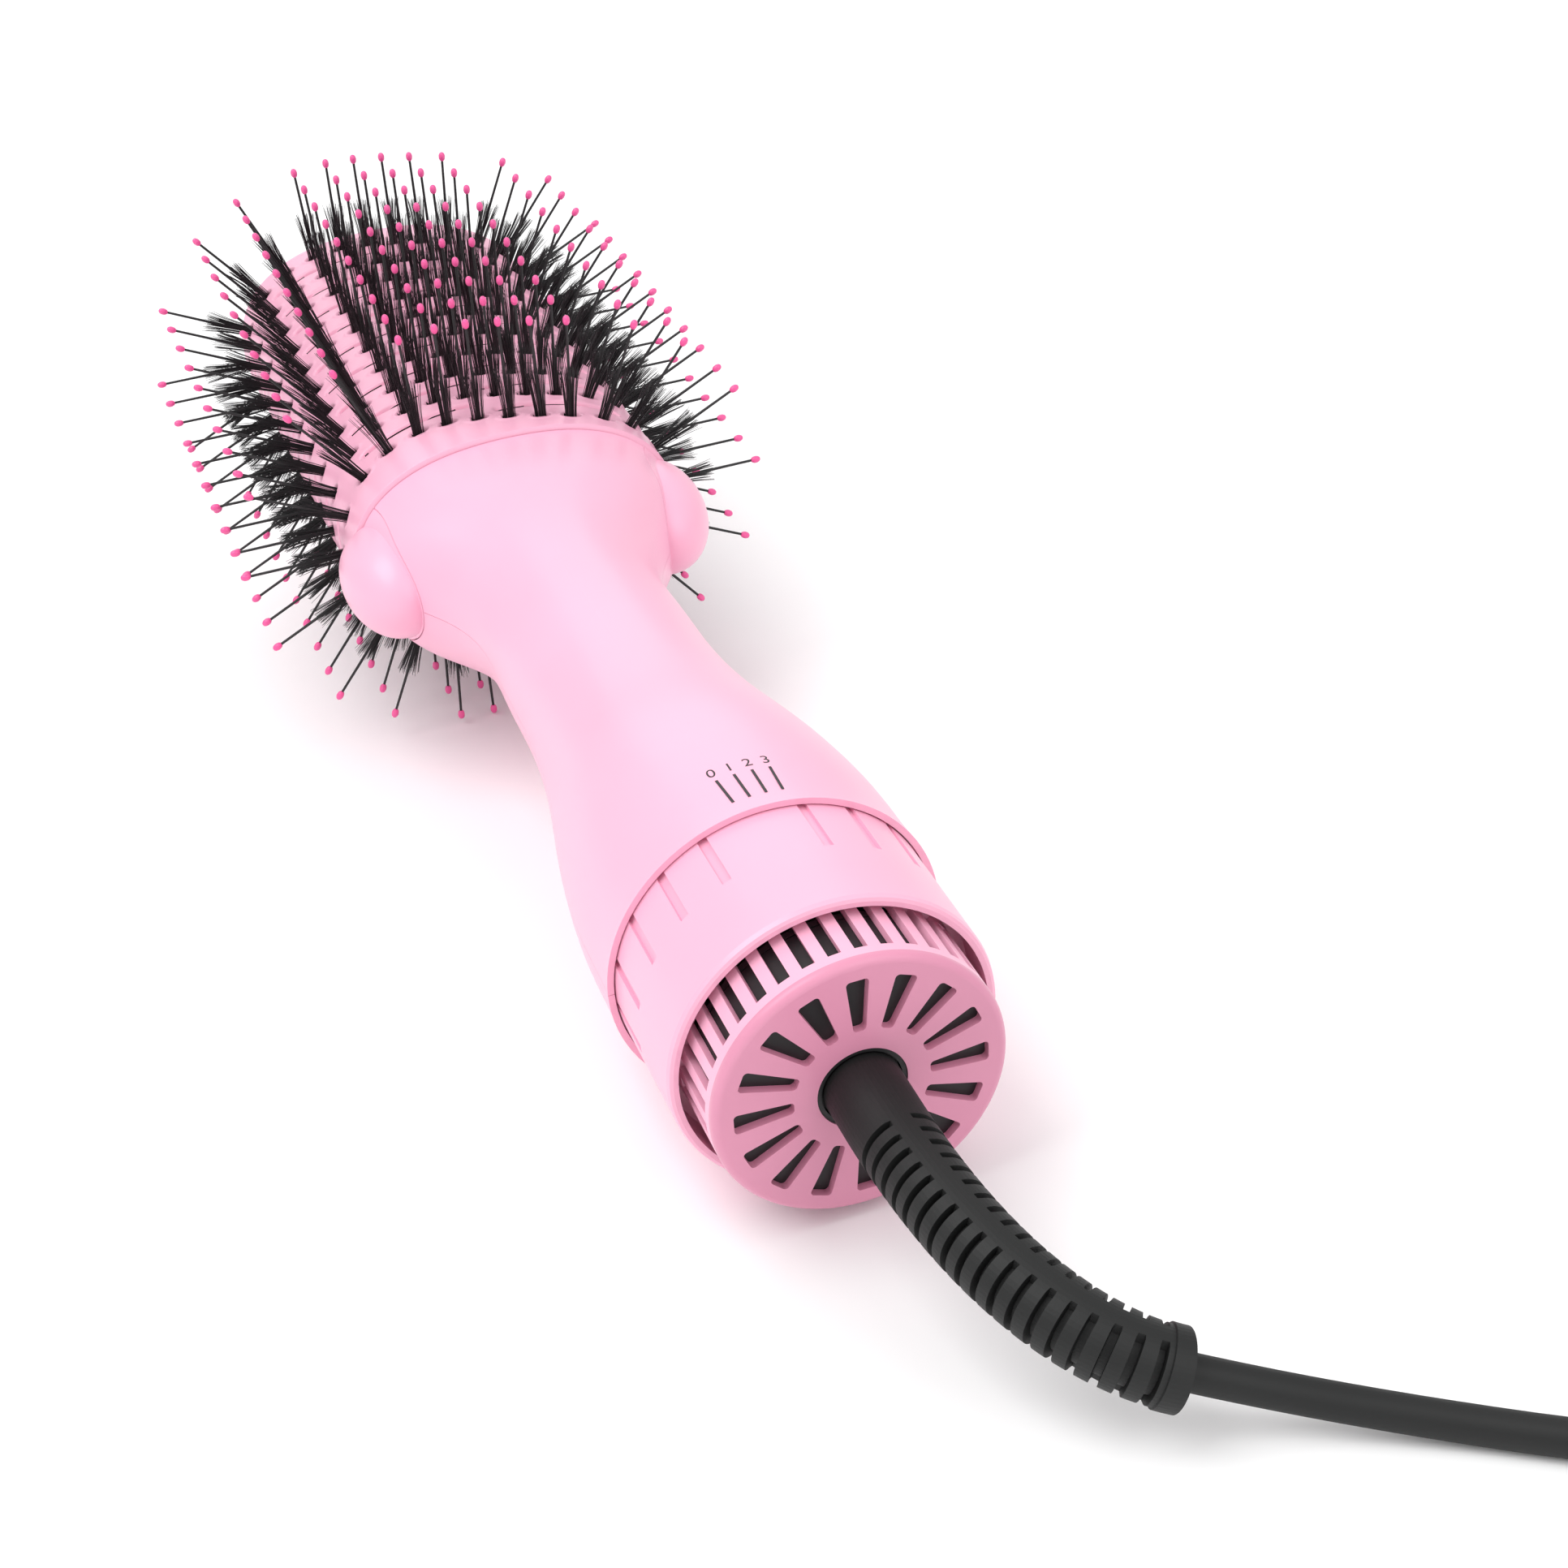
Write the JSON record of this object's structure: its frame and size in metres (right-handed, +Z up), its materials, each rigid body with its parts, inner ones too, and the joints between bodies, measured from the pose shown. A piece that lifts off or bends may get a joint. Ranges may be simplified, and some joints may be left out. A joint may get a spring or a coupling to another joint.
{
  "type": "hot air brush",
  "caption": "Corded hot air hair brush: round handle with a slotted intake cap and switch ring, flaring to an oval barrel of ball-tipped pins and tufts.",
  "frame": {"origin": "middle of the brush's footprint on the table, without its cord", "axes": "+Z up from the table; +Y along the brush in plan, from the intake cap towards the barrel's tip"},
  "size_m": [0.2756, 0.48, 0.1127],
  "materials": {
    "pink_housing": "satin",
    "dark_plastic": "matte",
    "nylon_bristle": "matte",
    "black_rubber": "matte",
    "steel": "satin",
    "brass_contact": "satin",
    "board": "matte"
  },
  "bodies": {
    "handle": {"intake_cap": "pink_housing", "intake_basket": "pink_housing", "dust_filter": "steel", "swivel_bush": "dark_plastic", "contact_pads": "brass_contact", "circuit_board": "board", "board_capacitor": "black_rubber", "handle_top_shell": "pink_housing", "handle_bottom_shell": "pink_housing", "side_panel_left": "pink_housing", "side_panel_right": "pink_housing", "barrel_shell": "pink_housing", "end_cap": "pink_housing", "barrel_flange": "dark_plastic", "heater_bridge": "steel", "heater_frame": "board", "heater_wire": "steel", "heater_liner": "steel", "thermostat": "steel", "thermal_fuse": "black_rubber", "blower_duct": "dark_plastic", "motor_can": "steel", "shell_screws": "steel", "bristle_plate_top": "nylon_bristle", "bristle_plate_bottom": "nylon_bristle", "bristle_plate_left": "nylon_bristle", "bristle_plate_right": "nylon_bristle", "strain_relief": "black_rubber", "power_cord": "black_rubber", "cord_coil": "black_rubber", "coil_tie": "dark_plastic", "cord_tail": "black_rubber", "plug_body": "black_rubber", "plug_pins": "brass_contact"},
    "switch": {"switch_ring": "pink_housing", "switch_carrier": "dark_plastic", "switch_wiper": "brass_contact"},
    "fan": {"impeller": "dark_plastic", "motor_shaft": "steel"},
    "swivel": {"swivel_hub": "dark_plastic"}
  },
  "joints": [
    {"name": "switch_turn", "type": "hinge", "parent": "handle", "child": "switch", "pos_m": [0, -0.14129, 0.03245], "axis": [0, 0.9953, 0.097], "range_deg": [0, 16.8]},
    {"name": "fan_spin", "type": "hinge", "parent": "handle", "child": "fan", "pos_m": [0, -0.0965, 0.03681], "axis": [0, 0.9953, 0.097], "continuous": true},
    {"name": "cord_swivel", "type": "hinge", "parent": "handle", "child": "swivel", "pos_m": [0, -0.1612, 0.03051], "axis": [0, 0.9953, 0.097], "continuous": true}
  ]
}
